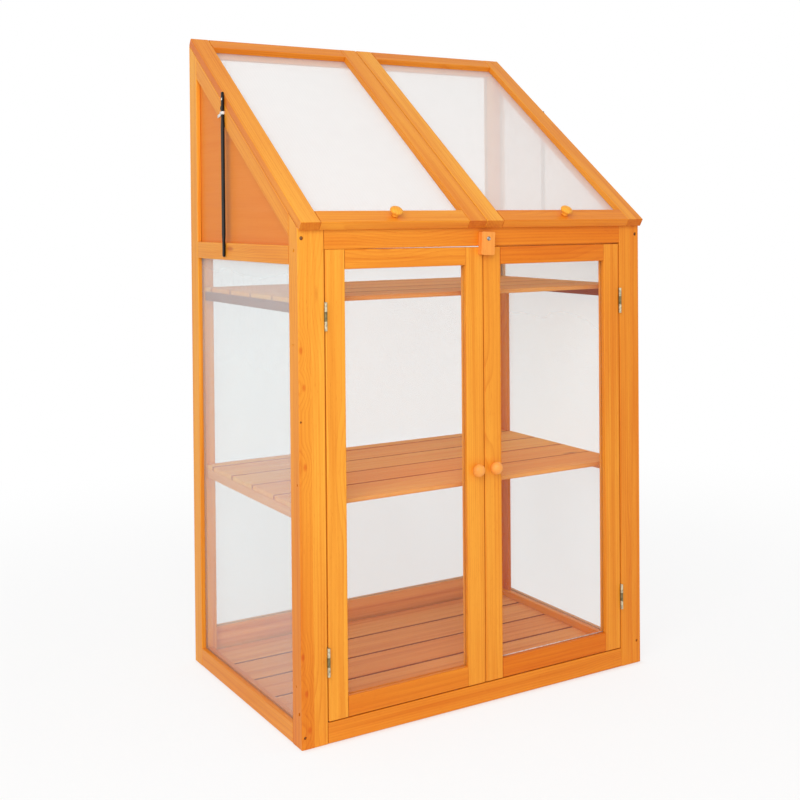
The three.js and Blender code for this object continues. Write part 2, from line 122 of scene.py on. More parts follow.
# the node tree of a material or of the world
class Shader:
    def __init__(self, owner):
        owner.use_nodes = True
        self.owner = owner
        self.tree = owner.node_tree
        self.tree.nodes.clear()

    # any node: its type, its settings, what goes into its sockets, and which output to hand back
    def add(self, kind, settings=None, sockets=None, output=0):
        node = self.tree.nodes.new(kind)
        for key, value in (settings or {}).items():
            setattr(node, key, value)
        for key, value in (sockets or {}).items():
            if isinstance(value, Wire):
                self.tree.links.new(value.socket, node.inputs[key])
            else:
                node.inputs[key].default_value = value
        return Wire(self, node.outputs[output]) if node.outputs else None

    def maths(self, operation, first, second=0.0):
        return self.add("ShaderNodeMath", {"operation": operation}, {0: first, 1: second})

    def attribute(self, name, output="Fac"):
        return self.add("ShaderNodeAttribute", {"attribute_name": name}, output=output)

    def vectorMaths(self, operation, *values, output="Vector"):
        return self.add("ShaderNodeVectorMath", {"operation": operation}, dict(enumerate(values)), output)

    def stretched(self, vector, factors):
        return self.vectorMaths("MULTIPLY", vector, factors)

    def parts(self, vector):
        split = self.add("ShaderNodeSeparateXYZ", sockets={0: vector})
        return [Wire(self, socket) for socket in split.socket.node.outputs]

    # a scale for each axis, then the detail and the roughness
    def noise(self, vector, scale, detail, roughness=0.5):
        place = self.stretched(vector, scale)
        sockets = {"Vector": place, "Scale": 1.0, "Detail": detail, "Roughness": roughness}
        return self.add("ShaderNodeTexNoise", sockets=sockets)

    # 0 below low, 1 above high, smooth between
    def ramped(self, value, low, high):
        sockets = {"Value": value, "From Min": low, "From Max": high}
        return self.add("ShaderNodeMapRange", {"interpolation_type": "SMOOTHSTEP"}, sockets)

    def mixed(self, share, first, second, how="MIX"):
        settings = {"data_type": "RGBA", "blend_type": how}
        return self.add("ShaderNodeMix", settings, {0: share, 6: first, 7: second}, output=2)

    def bumped(self, height, strength, distance):
        sockets = {"Height": height, "Strength": strength, "Distance": distance}
        return self.add("ShaderNodeBump", sockets=sockets)

    # 1 on the rays that should meet white: the camera's, and those mirrored or let through
    def seenRays(self):
        path = self.add("ShaderNodeLightPath").socket.node
        rays = ("Is Camera Ray", "Is Glossy Ray", "Is Transmission Ray")
        camera, glossy, through = (Wire(self, path.outputs[ray]) for ray in rays)
        return camera + glossy + through

    def finish(self, sockets):
        surface = self.add("ShaderNodeBsdfPrincipled", sockets=sockets)
        self.add("ShaderNodeOutputMaterial", sockets={"Surface": surface})
        return self.owner


# an sRGB colour as seen, turned to the linear one that sockets hold
def paint(red, green, blue):
    def linear(value):
        value = value / 255
        return value / 12.92 if value <= 0.04045 else ((value + 0.055) / 1.055) ** 2.4

    return (linear(red), linear(green), linear(blue), 1.0)


# materials

pineLook = {
    "pale": paint(254, 183, 64),
    "deep": paint(230, 128, 20),
    "ringTint": paint(232, 190, 138),  # the tints are multiplied over the rest
    "streakTint": paint(242, 218, 186),
    "knotTint": paint(206, 140, 84),
    "endTint": paint(226, 190, 150),
    "ringWidth": 4.4 * mm,
    "ringShare": 0.5,
    "wander": 2.6,  # by how many rings the low wave pushes them aside
    "roughness": 0.42,
    "coat": 0.06,
}
slatLook = {
    "pale": paint(255, 196, 118),
    "deep": paint(246, 168, 92),
    "ringTint": paint(240, 214, 186),
    "streakTint": paint(236, 206, 178),
    "knotTint": paint(170, 110, 72),
    # also the painted shade on board edges in the gaps and on shaded battens
    "endTint": paint(150, 84, 50),
    "ringWidth": 4.2 * mm,
    "ringShare": 0.6,
    "wander": 3.2,
    "roughness": 0.6,
    "coat": 0.0,
}
shelfLook = {
    **slatLook,
    "pale": paint(255, 205, 112),
    "deep": paint(255, 179, 86),
    "ringTint": paint(248, 212, 174),
    "streakTint": paint(248, 218, 184),
    # also the painted shade on board edges in the gaps
    "endTint": paint(186, 108, 60),
}
boardLook = {
    "pale": paint(240, 146, 58),
    "deep": paint(228, 130, 44),
    "ringTint": paint(250, 236, 222),
    "streakTint": paint(252, 244, 236),
    "knotTint": paint(250, 240, 230),
    "endTint": paint(210, 170, 140),
    "ringWidth": 40 * mm,
    "ringShare": 0.2,
    "wander": 1.0,
    "roughness": 0.5,
    "coat": 0.04,
}


# the figure that all woods share; scales are in waves to the metre, twice across the grain and once along it,
# and a noise's other numbers are its detail and its roughness
figure = {
    "wander": ((9.0, 9.0, 1.5), 2.0),
    "ringStrength": ((26.0, 26.0, 2.2), 1.0),
    "fibre": ((620.0, 620.0, 11.0), 3.0, 0.6),
    "streak": ((95.0, 95.0, 1.7), 2.0, 0.55),
    "blotch": ((11.0, 11.0, 2.6), 2.0),
    "fleck": ((1300.0, 1300.0, 75.0), 1.0),
    "knotScale": (14.0, 14.0, 3.1),
    "placedKnotScale": (18.0, 18.0, 9.0),
    "knotScatter": 0.9,
    "knotCore": (0.02, 0.08),
    "knotSwirl": (0.03, 0.42),
    "swirlRings": 2.2,  # rings that a knot pushes aside
    "lateSharpness": 3.0,
    "lateEnd": (0.9, 1.0),
    "streakRamp": (0.35, 0.8),
    "fibreRamp": (0.25, 0.85),
    "fleckRamp": (0.66, 0.74),
    "blotchShare": 0.55,
    "fibreShare": 0.55,
    "fleckShare": 0.5,
    "knotShare": 0.75,
    "endShare": 0.9,
    "roughBy": {"fibre": 0.12, "end": 0.15, "late": 0.05},
    "reliefBy": {"fibre": 0.6, "late": 0.5, "fleck": -0.6},
    "relief": 0.25,
    "reliefDeep": 0.12 * mm,
    "shine": 0.2,
    "coatRoughness": 0.22,
}


# rings round a pith line, fine fibres along it, scattered and placed knots, and a darker end grain; the same dark
# end tint is laid on some faces as painted shade
def makeWood(name, look, knots=()):
    shader = Shader(bpy.data.materials.new(name))
    place = shader.attribute("woodPlace", "Vector")
    tone = shader.attribute("woodTone")
    endingAndShade = shader.attribute("woodEnd")
    x, y, _ = shader.parts(place)
    wander = shader.noise(place, *figure["wander"]) - 0.5
    knotPlace = shader.stretched(place, figure["knotScale"])
    knotSettings = {"feature": "F1", "distance": "EUCLIDEAN"}
    knotSockets = {"Vector": knotPlace, "Scale": 1.0, "Randomness": figure["knotScatter"]}
    knotReach = shader.add("ShaderNodeTexVoronoi", knotSettings, knotSockets, "Distance")
    seen = shader.add("ShaderNodeTexCoord", output="Object")
    for at in knots:
        away = shader.stretched(shader.vectorMaths("SUBTRACT", seen, at), figure["placedKnotScale"])
        reach = shader.vectorMaths("LENGTH", away, output="Value")
        knotReach = shader.maths("MINIMUM", knotReach, reach)
    knot = 1 - shader.ramped(knotReach, *figure["knotCore"])
    swirl = 1 - shader.ramped(knotReach, *figure["knotSwirl"])
    radius = (x * x + y * y) ** 0.5
    turns = radius / look["ringWidth"] + wander * look["wander"] + swirl * figure["swirlRings"]
    ring = shader.maths("FRACT", turns)
    late = ring ** figure["lateSharpness"] * (1 - shader.ramped(ring, *figure["lateEnd"]))
    noises = ("ringStrength", "fibre", "streak", "blotch", "fleck")
    ringStrength, fibre, streak, blotch, fleck = (shader.noise(place, *figure[name]) for name in noises)
    fleck = shader.ramped(fleck, *figure["fleckRamp"])

    # the tone runs from -1 to 1 and the mix from 0 to 1
    toneMix = tone * 0.5 + 0.5 + (blotch - 0.5) * figure["blotchShare"]
    colour = shader.mixed(toneMix, look["deep"], look["pale"])
    for share, tint in (
        (late * ringStrength * (2.0 * look["ringShare"]), "ringTint"),
        (shader.ramped(streak, *figure["streakRamp"]), "streakTint"),
        (shader.ramped(fibre, *figure["fibreRamp"]) * figure["fibreShare"], "streakTint"),
        (fleck * figure["fleckShare"], "ringTint"),
        (knot * figure["knotShare"], "knotTint"),
        (endingAndShade * figure["endShare"], "endTint"),
    ):
        colour = shader.mixed(share, colour, look[tint], "MULTIPLY")
    roughBy, reliefBy = figure["roughBy"], figure["reliefBy"]
    rough = look["roughness"] + fibre * roughBy["fibre"] + endingAndShade * roughBy["end"] - late * roughBy["late"]
    relief = fibre * reliefBy["fibre"] + late * reliefBy["late"] + fleck * reliefBy["fleck"]
    return shader.finish({
        "Base Color": colour,
        "Roughness": rough,
        "Specular IOR Level": figure["shine"],
        "Coat Weight": look["coat"],
        "Coat Roughness": figure["coatRoughness"],
        "Normal": shader.bumped(relief, figure["relief"], figure["reliefDeep"]),
    })


ribsAcrossX, ribsAcrossY = 0, 1
sheetLook = {
    "across": ribsAcrossX,
    "pitch": 6 * mm,
    "pale": paint(240, 253, 255),
    "shade": paint(233, 248, 254),
    "milk": 0.13,  # how much of one face is milky
    "milkShares": (0.86, 0.28),  # the even part, and what the clouds add
    "ribMilk": 0.03,
    "ribRamp": (0.03, 0.11),
    "rise": 0.0,  # milk that is added for each metre up
    "cloud": ((5.0, 5.0, 2.2), 3.0),
    "fine": ((90.0, 90.0, 9.0), 2.0),
    "fineShare": 0.1,
    "roughness": 0.3,
    "ior": 1.35,
    "relief": 0.2,
    "reliefDeep": 0.2 * mm,
}


# twin-wall sheet: two clear skins and fine ribs, milky where light catches them
def makeSheet(name, look):
    shader = Shader(bpy.data.materials.new(name))
    place = shader.add("ShaderNodeTexCoord", output="Object")
    across = shader.parts(place)[look["across"]]
    phase = shader.maths("FRACT", across / look["pitch"] + 0.5)
    offRib = shader.maths("ABSOLUTE", phase - 0.5)
    rib = 1 - shader.ramped(offRib, *look["ribRamp"])
    cloud = shader.noise(place, *look["cloud"])
    fine = shader.noise(place, *look["fine"])
    rise = shader.parts(place)[2] * look["rise"]
    even, clouded = look["milkShares"]
    alpha = look["milk"] * (even + cloud * clouded + rise) + rib * look["ribMilk"]
    colour = shader.mixed(cloud, look["pale"], look["shade"])
    return shader.finish({
        "Base Color": colour,
        "Roughness": look["roughness"] + fine * look["fineShare"],
        "Alpha": alpha,
        "IOR": look["ior"],
        "Normal": shader.bumped(rib + fine * look["fineShare"], look["relief"], look["reliefDeep"]),
    })


metalWork = {
    "wear": ((260.0, 260.0, 260.0), 3.0, 0.6),
    "brush": ((1500.0, 1500.0, 190.0), 2.0, 0.6),
    "wearRamp": (0.35, 0.7),
    "wearRoughness": 0.16,
    "reliefBy": {"wear": 0.6, "brush": 0.4},
    "relief": 0.15,
    "reliefDeep": 0.05 * mm,
}


# metal, and the smooth plastics, worn in patches and finely brushed
def makeMetal(name, bright, dull, metallic, roughness, shine=0.5):
    shader = Shader(bpy.data.materials.new(name))
    place = shader.add("ShaderNodeTexCoord", output="Object")
    wear = shader.noise(place, *metalWork["wear"])
    brushed = shader.noise(place, *metalWork["brush"])
    colour = shader.mixed(shader.ramped(wear, *metalWork["wearRamp"]), bright, dull)
    relief = wear * metalWork["reliefBy"]["wear"] + brushed * metalWork["reliefBy"]["brush"]
    return shader.finish({
        "Base Color": colour,
        "Metallic": metallic,
        "Specular IOR Level": shine,
        "Roughness": roughness + wear * metalWork["wearRoughness"],
        "Normal": shader.bumped(relief, metalWork["relief"], metalWork["reliefDeep"]),
    })


knobLook = {
    **pineLook,
    "pale": paint(252, 172, 80),
    "deep": paint(240, 150, 58),
    "streakTint": paint(250, 236, 220),
    "ringShare": 0.12,
    "coat": 0.25,
}
# the front left post has knots at these places: in mm from its front corner at the floor, across, back and up
figuredLook = {**pineLook, "knotTint": paint(236, 176, 120)}
postCorner = Vector((-house["width"] / 2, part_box("front_post_left")[0].y, 0))
knotSpots = ((4, 0, 643), (9, 1, 583), (10, 0, 455), (3, 0, 150), (9, 0, 90), (14, 1, 30))
postKnots = [postCorner + Vector(spot) * mm for spot in knotSpots]

pine = makeWood("varnishedPine", pineLook)
knobPine = makeWood("turnedPine", knobLook)
pineFigured = makeWood("varnishedPineFigured", figuredLook, postKnots)
slatWood = makeWood("stainedSlats", slatLook)
shelfWood = makeWood("stainedShelves", shelfLook)
gableBoard = makeWood("stainedPlywood", boardLook)

# the far side's ribs are seen edge on, where they would only flicker
sideLook = {**sheetLook, "across": ribsAcrossY, "rise": 1.6}
farLook = {**sideLook, "ribMilk": 0.0, "relief": 0.03}
warmLook = {**sheetLook, "pale": paint(255, 253, 252), "shade": paint(253, 250, 249)}
lidLook = {**warmLook, "ribMilk": 0.015}
gableLook = {**warmLook, "across": ribsAcrossY, "milk": 0.5, "ribMilk": 0.02}
doorSheet = makeSheet("doorTwinWall", {**sheetLook, "milk": 0.02, "ribMilk": 0.02})
backSheet = makeSheet("backTwinWall", {**sheetLook, "milk": 0.17})
sideSheet = makeSheet("sideTwinWall", {**sideLook, "milk": 0.118})
farSheet = makeSheet("farSideTwinWall", farLook)
gableSheet = makeSheet("gableTwinWall", gableLook)
lidSheet = makeSheet("lidTwinWall", {**lidLook, "milk": 0.34})
lidSheetRight = makeSheet("lidTwinWallRight", {**lidLook, "milk": 0.42})

# each with its bright and dull colour, how metallic and how rough it is
zinc = makeMetal("zincPlate", paint(214, 206, 176), paint(150, 142, 112), 0.7, 0.34)
# a darker copy of the zinc for the door halves' knuckles: painted shade standing in for their darker reflections
zincShaded = makeMetal("zincPlateWorn", paint(140, 130, 92), paint(96, 90, 60), 0.6, 0.4)
blackMetal = makeMetal("blackPowderCoat", paint(19, 15, 12), paint(9, 7, 6), 0.0, 0.34, shine=0.12)
steelScrew = makeMetal("screwSteel", paint(196, 198, 202), paint(128, 128, 130), 0.85, 0.34)
# dark brown for the screws sunk in the post holes: painted shade deep in the hole
sunkScrewShade = makeMetal("sunkScrewSteel", paint(150, 108, 66), paint(96, 62, 36), 0.2, 0.5)
# a pale colour for the strip on the right pane's lower edge: painted highlight
edgeGlintPaint = makeMetal("paleFilm", paint(236, 226, 218), paint(206, 176, 156), 0.0, 0.5)
tieNylon = makeMetal("whiteNylon", paint(245, 244, 240), paint(228, 226, 220), 0.0, 0.4)
print("materials made")


# mesh helpers


def linked(mesh, name):
    piece = bpy.data.objects.new(name, mesh)
    bpy.context.collection.objects.link(piece)
    return piece


# a mesh with an object's modifiers in it
def baked(piece):
    graph = bpy.context.evaluated_depsgraph_get()
    mesh = bpy.data.meshes.new_from_object(piece.evaluated_get(graph))
    old = piece.data
    piece.modifiers.clear()
    piece.data = mesh
    bpy.data.meshes.remove(old)
    return piece


# keeps the wide faces of a smooth-shaded piece flat
def evened(piece):
    even = piece.modifiers.new("shading", "WEIGHTED_NORMAL")
    even.weight = 80
    return baked(piece)


# rounds the square edges of a piece and evens its shading
def eased(piece, width, segments=2, limit=50):
    bevel = piece.modifiers.new("arris", "BEVEL")
    bevel.width = width
    bevel.segments = segments
    bevel.limit_method = "ANGLE"
    bevel.angle_limit = math.radians(limit)
    bevel.miter_outer = "MITER_ARC"
    return evened(piece)


# a smooth mesh from a bmesh, with its faces turned outward unless they are already
def meshFrom(work, name, turnOut=True):
    if turnOut:
        bmesh.ops.recalc_face_normals(work, faces=work.faces)
    for face in work.faces:
        face.smooth = True
    mesh = bpy.data.meshes.new(name)
    work.to_mesh(mesh)
    work.free()
    return mesh


weld = {"reach": 0.01 * mm, "flat": math.radians(0.5)}


# the CAD node's own shape as a new mesh, with its split points joined again
def copyOf(node):
    mesh = frame["nodes"][node].data.copy()
    work = bmesh.new()
    work.from_mesh(mesh)
    bmesh.ops.remove_doubles(work, verts=work.verts, dist=weld["reach"])
    bmesh.ops.dissolve_limit(work, angle_limit=weld["flat"], verts=work.verts, edges=work.edges)
    for face in work.faces:
        face.smooth = True
    work.to_mesh(mesh)
    work.free()
    for layer in list(mesh.attributes):
        if layer.name in ("custom_normal", "sharp_face", "sharp_edge"):
            mesh.attributes.remove(layer)
    mesh.materials.clear()
    return mesh


# two directions square to the grain, and the grain itself
def grainAxes(grain):
    across = alongX if abs(grain.x) < 0.5 else alongY
    other = grain.cross(across).normalized()
    return across, other, grain


# the log that a piece was sawn from: how far off its pith is, in shares, how far along it the piece lay, in
# metres, and how squarely a face has to cross the grain to be an end
log = {"farShares": (0.8, 1.6), "along": (3, 60), "endFacing": 0.8}


# marks where each point lies in its log, how light the piece is, and which faces are ends
# the tone is one value, or one for each end
def sawn(piece, grain, tone, seed, pith=45 * mm):
    dice = random.Random(seed)
    mesh = piece.data
    axes = grainAxes(grain)
    middle = sum((vertex.co for vertex in mesh.vertices), Vector()) / len(mesh.vertices)
    turn = dice.uniform(0, 2 * math.pi)
    far = pith * dice.uniform(*log["farShares"])
    start = Vector((math.cos(turn) * far, math.sin(turn) * far, dice.uniform(*log["along"])))
    places = []
    for vertex in mesh.vertices:
        offset = vertex.co - middle
        places += [offset.dot(axis) + part for axis, part in zip(axes, start)]
    mesh.attributes.new("woodPlace", "FLOAT_VECTOR", "POINT").data.foreach_set("vector", places)
    if isinstance(tone, tuple):
        reach = [vertex.co.dot(grain) for vertex in mesh.vertices]
        spread = max(reach) - min(reach)
        tones = [tone[0] + (tone[1] - tone[0]) * (value - min(reach)) / spread for value in reach]
    else:
        tones = [tone] * len(mesh.vertices)
    mesh.attributes.new("woodTone", "FLOAT", "POINT").data.foreach_set("value", tones)
    ends = [1.0 if abs(face.normal.dot(grain)) > log["endFacing"] else 0.0 for face in mesh.polygons]
    mesh.attributes.new("woodEnd", "FLOAT", "FACE").data.foreach_set("value", ends)
    return piece


# overwrites the share of end stain on every face, which also carries painted shade
def stainAndShadeFaces(piece, values):
    piece.data.attributes["woodEnd"].data.foreach_set("value", values)


# gives a piece its material, body and slot, and hides the CAD nodes that it stands for
def settle(piece, body, material, nodes=()):
    piece.data.materials.clear()
    piece.data.materials.append(material)
    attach(piece, body)
    if nodes:
        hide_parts(*nodes)


# cuts a piece's mesh down to the part on one side of a plane, and closes the cut
def keptSide(mesh, point, normal):
    work = bmesh.new()
    work.from_mesh(mesh)
    geometry = work.verts[:] + work.edges[:] + work.faces[:]
    cut = bmesh.ops.bisect_plane(work, geom=geometry, plane_co=point, plane_no=normal, clear_outer=True)
    rim = [item for item in cut["geom_cut"] if isinstance(item, bmesh.types.BMEdge)]
    bmesh.ops.holes_fill(work, edges=rim)
    return meshFrom(work, "kept")


# a mesh turned round an axis from a list of (distance from the axis, height along it)
def turned(profile, base, axis, steps):
    side = axis.orthogonal().normalized()
    other = axis.cross(side)
    work = bmesh.new()
    rings = []
    for radius, height in profile:
        if radius == 0:
            rings.append([work.verts.new(base + axis * height)])
            continue
        angles = [2 * math.pi * step / steps for step in range(steps)]
        spokes = [side * math.cos(angle) + other * math.sin(angle) for angle in angles]
        rings.append([work.verts.new(base + axis * height + spoke * radius) for spoke in spokes])
    for lower, upper in zip(rings, rings[1:]):
        for step in range(steps):
            after = (step + 1) % steps
            corners = [lower[step % len(lower)], lower[after % len(lower)]]
            corners += [upper[after % len(upper)], upper[step % len(upper)]]
            loop = list(dict.fromkeys(corners))
            if len(loop) > 2:
                work.faces.new(loop)
    return meshFrom(work, "turned")


# a flat outline given in two directions, pushed along a third
def plate(outline, origin, right, up, thick):
    push = right.cross(up).normalized() * thick
    work = bmesh.new()
    near = [work.verts.new(origin + right * x + up * y) for x, y in outline]
    far = [work.verts.new(vertex.co + push) for vertex in near]
    work.faces.new(near)
    work.faces.new(list(reversed(far)))
    count = len(outline)
    for place in range(count):
        after = (place + 1) % count
        work.faces.new([near[after], near[place], far[place], far[after]])
    return meshFrom(work, "plate")


# points along an arc, with its ends in degrees
def arc(x, y, radius, start, end, steps):
    turns = [math.radians(start + (end - start) * step / steps) for step in range(steps + 1)]
    return [(x + radius * math.cos(turn), y + radius * math.sin(turn)) for turn in turns]


def joinedMesh(meshes):
    work = bmesh.new()
    for mesh in meshes:
        work.from_mesh(mesh)
        bpy.data.meshes.remove(mesh)
    return meshFrom(work, "joined", turnOut=False)


def blockMesh(low, high):
    size = high - low
    outline = [(0, 0), (size.x, 0), (size.x, size.y), (0, size.y)]
    return plate(outline, low, alongX, alongY, size.z)


# takes a mesh's shape out of a piece, and drops that mesh
def carved(piece, shape):
    cutter = linked(shape, "cutter")
    cut = piece.modifiers.new("cut", "BOOLEAN")
    cut.object = cutter
    cut.solver = "EXACT"
    baked(piece)
    bpy.data.objects.remove(cutter)
    bpy.data.meshes.remove(shape)
    return piece


# frame timbers

timber = {
    "edge": 0.7 * mm,
    # the left door's top runs up towards its hinges
    "hungHigh": ("door_hinge_stile_left", "door_top_rail_left", "door_meeting_stile_left"),
    "hangRise": 1.9 * mm,
    "topReach": 0.1 * mm,
    "lidSideTone": -0.6,  # painted shade, added on the outer sides of the lids
    # lighter above 0, darker below; a pair is for the lower, left or front end and the other one. Each value is
    # partly the wood's own tone and partly painted light and shade: pieces on the right are darker as painted
    # shade where the light falls off, and the back top rail is lighter against its shade
    "tones": {
        "rear_post_left": 0.6,
        "rear_post_right": (-1.4, 1.3),
        "side_low_rail_left": -0.2,
        "side_mid_rail_left": 0.1,
        "gable_rail_left": 0.1,
        "back_low_rail": 0.3,
        "back_top_rail": 1.0,
        "sill": (-0.2, -0.6),
        "header": (0.0, -1.1),
        "door_low_rail_left": -0.5,
        "door_low_rail_right": -0.9,
        "door_top_rail_left": -0.1,
        "door_top_rail_right": -0.9,
        "door_hinge_stile_left": 0.5,
        "door_meeting_stile_left": 0.25,
        "door_hinge_stile_right": 0.0,
        "door_meeting_stile_right": 0.2,
        "lid_top_rail": -0.3,
        "lid_low_rail_left": 0.1,
        "lid_low_rail_right": -0.5,
        "lid_outer_stile_left": (0.5, -0.1),
        "lid_outer_stile_right": (0.2, -0.2),
        "lid_inner_stile_left": -0.1,
        "lid_inner_stile_right": 0.6,
    },
}


def grainOf(node):
    if "stile" in node or "post" in node:
        return upSlope if node.startswith("lid") else alongZ
    if node.startswith("gable"):
        return upSlope
    if node.startswith("side"):
        return alongY
    return alongX


def toneAndShadeOf(node):
    fits = [key for key in timber["tones"] if node.startswith(key)]
    return timber["tones"][max(fits, key=len)] if fits else 0.0


def addTimber(node, seed):
    piece = linked(copyOf(node), camel(node))
    if node in timber["hungHigh"]:
        low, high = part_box("door_hinge_stile_left")[0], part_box("door_meeting_stile_left")[1]
        for vertex in piece.data.vertices:
            if vertex.co.z > high.z - timber["topReach"]:
                away = (vertex.co.x - low.x) / (high.x - low.x)
                vertex.co.z += timber["hangRise"] * (1 - away ** 2)
    eased(piece, timber["edge"])
    sawn(piece, grainOf(node), toneAndShadeOf(node), seed)
    # painted shade: the outer side faces of the lid stiles are darkened
    if node.startswith("lid_outer_stile"):
        outerX = max(abs(vertex.co.x) for vertex in piece.data.vertices)
        tones = piece.data.attributes["woodTone"].data
        for vertex, tone in zip(piece.data.vertices, tones):
            if abs(vertex.co.x) > outerX - timber["edge"] / 4:
                tone.value += timber["lidSideTone"]
    settle(piece, bodyOf[node], slatWood if node == "back_low_rail" else pine, [node])


plainTimbers = ["sill", "header", "back_low_rail", "back_top_rail"]
frameNames = ("rear_post", "side_low_rail", "side_mid_rail", "gable_rail")
doorNames = ("hinge_stile", "meeting_stile", "low_rail", "top_rail")
lidNames = ("outer_stile", "inner_stile", "low_rail", "top_rail")
for side in sides:
    for prefix, names in (("", frameNames), ("door_", doorNames), ("lid_", lidNames)):
        plainTimbers += [f"{prefix}{name}_{side}" for name in names]
for seed, node in enumerate(plainTimbers):
    addTimber(node, seed)

# the front posts are each glued up from two strips
frontPost = {
    "outerStrip": 22 * mm,  # from the outside of the greenhouse to the glue line
    "outerTone": (-0.6, 0.5),  # lower end, upper end
    "innerTone": 0.45,
    # partly the wood's own tone, partly painted shade where the light falls off to the right
    "rightTone": -0.3,
    "arris": 0.3 * mm,
    "holeDeep": 6 * mm,
    "screwDeep": 2.6 * mm,
    "screwPlay": 0.1 * mm,
    "screwCrown": 0.3 * mm,
    "crownShare": 0.6,
    "holeSteps": 24,
    "seeds": {"left": 101, "right": 111},
    # screw holes, in mm: across from the outer corner, back from the front face, up, then the radius
    "holes": {
        "left": [
            (6.8, 0, 823, 3.3), (0, 15, 803, 2.6), (0, 21, 651, 1.6), (3.4, 0, 528, 1.8), (0, 9, 426, 1.9),
            (0, 20, 98, 1.8), (0, 9, 56, 2.8), (6, 0, 19, 2.4),
        ],
        "right": [(8, 0, 820, 3.2), (9, 0, 42, 2.4)],
    },
}


# a screw hole, with a screw head at its bottom whose dark brown is painted shade deep in the hole
def addScrewHole(piece, side, number, spot):
    across, back, rise, radius = (value * mm for value in spot)
    low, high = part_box(f"front_post_{side}")
    x = low.x + across if side == "left" else high.x - across
    at = Vector((x, low.y + back, rise))
    outward = -alongX if across == 0 else -alongY
    deep = frontPost["holeDeep"]
    steps = frontPost["holeSteps"]
    carved(piece, turned([(0, -deep), (radius, -deep), (radius, mm), (0, mm)], at, outward, steps))
    sunk = frontPost["screwDeep"]
    top = frontPost["screwCrown"] - sunk
    brim = radius - frontPost["screwPlay"]
    profile = [(0, -deep), (brim, -deep), (brim, -sunk), (brim * frontPost["crownShare"], top), (0, top)]
    head = linked(turned(profile, at, outward, steps), f"postScrew{side.capitalize()}{number + 1}")
    settle(head, "root", sunkScrewShade)


def addFrontPost(side):
    node = f"front_post_{side}"
    low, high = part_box(node)
    isLeft = side == "left"
    glueX = low.x + frontPost["outerStrip"] if isLeft else high.x - frontPost["outerStrip"]
    outward = -alongX if isLeft else alongX
    point = Vector((glueX, 0, 0))
    shades = (frontPost["outerTone"], frontPost["innerTone"]) if isLeft else (frontPost["rightTone"],) * 2
    for strip, normal, tone in (("Outer", -outward, shades[0]), ("Inner", outward, shades[1])):
        whole = copyOf(node)
        piece = linked(keptSide(whole, point, normal), camel(node) + strip)
        isOuter = strip == "Outer"
        if isOuter:
            for number, spot in enumerate(frontPost["holes"][side]):
                addScrewHole(piece, side, number, spot)
        eased(piece, frontPost["arris"])
        sawn(piece, alongZ, tone, frontPost["seeds"][side] + (not isOuter))
        settle(piece, "root", pineFigured if isLeft and isOuter else pine, [node])


for side in sides:
    addFrontPost(side)
print("timbers dressed")


# gable board

gable = {"edge": 0.4 * mm, "tone": 0.0, "seed": 201, "pith": 300 * mm}
board = linked(copyOf("gable_panel_left"), "gableBoardLeft")
eased(board, gable["edge"])
sawn(board, alongY, gable["tone"], gable["seed"], gable["pith"])
settle(board, "root", gableBoard, ["gable_panel_left"])


# floor and shelves as separate boards on battens

deck = {
    "slatWide": 94 * mm,
    "slatGap": 3 * mm,
    "slatThick": 8 * mm,
    "leastSlat": 20 * mm,
    "slatTones": (-0.7, 0.7),
    "slatPith": 60 * mm,
    "shelfSetback": 5 * mm,  # of the first slat behind the battens' front ends
    "battenThick": 18 * mm,
    "battenTone": -0.4,
    "battenPith": 30 * mm,
    "battenGap": 0.05 * mm,  # between a batten and the slats on it
    "edge": 1.3 * mm,
    "warp": 0.35 * mm,
    "warpWaves": (5.1, 3.7),  # sideways and down
    "phaseTo": 6.28,  # a wave begins anywhere up to here
    "downPhase": 1.7,
    "cells": 16,
    "edgeFacing": 0.3,  # how squarely a face has to look forward or back to be darkened
    "frontReach": 2 * mm,
    "seeds": {"floor": 300, "shelf_lower": 400, "shelf_upper": 500},
    "battenSeeds": (50, 60),  # added, for its shape and for its wood
}


# a planed board between two corners, a little bowed
def boardMesh(low, high, edge, warp, seed):
    dice = random.Random(seed)
    work = bmesh.new()
    bmesh.ops.create_cube(work, size=1.0)
    size = high - low
    middle = (low + high) / 2
    bmesh.ops.scale(work, verts=work.verts, vec=size)
    bmesh.ops.bevel(work, geom=work.edges[:], offset=edge, segments=2, profile=0.5, affect="EDGES")
    cells = deck["cells"]
    for cell in range(1, cells):
        at = Vector((size.x * (cell / cells - 0.5), 0, 0))
        geometry = work.verts[:] + work.edges[:] + work.faces[:]
        bmesh.ops.bisect_plane(work, geom=geometry, plane_co=at, plane_no=alongX)
    phase = dice.uniform(0, deck["phaseTo"])
    sideways = dice.uniform(-1, 1)
    across, down = deck["warpWaves"]
    for vertex in work.verts:
        share = vertex.co.x / size.x
        vertex.co.y += warp * sideways * math.sin(share * across + phase)
        vertex.co.z -= warp / 4 * (1 + math.sin(share * down + phase * deck["downPhase"]))
    bmesh.ops.translate(work, verts=work.verts, vec=middle)
    return meshFrom(work, "board", turnOut=False)


# where the boards lie, side by side from one edge towards another
def spansFrom(near, last):
    way = 1 if last > near else -1
    spans = []
    while (last - near) * way > deck["leastSlat"]:
        far = near + way * min(deck["slatWide"], abs(last - near))
        spans.append((min(near, far), max(near, far)))
        near += way * (deck["slatWide"] + deck["slatGap"])
    return spans
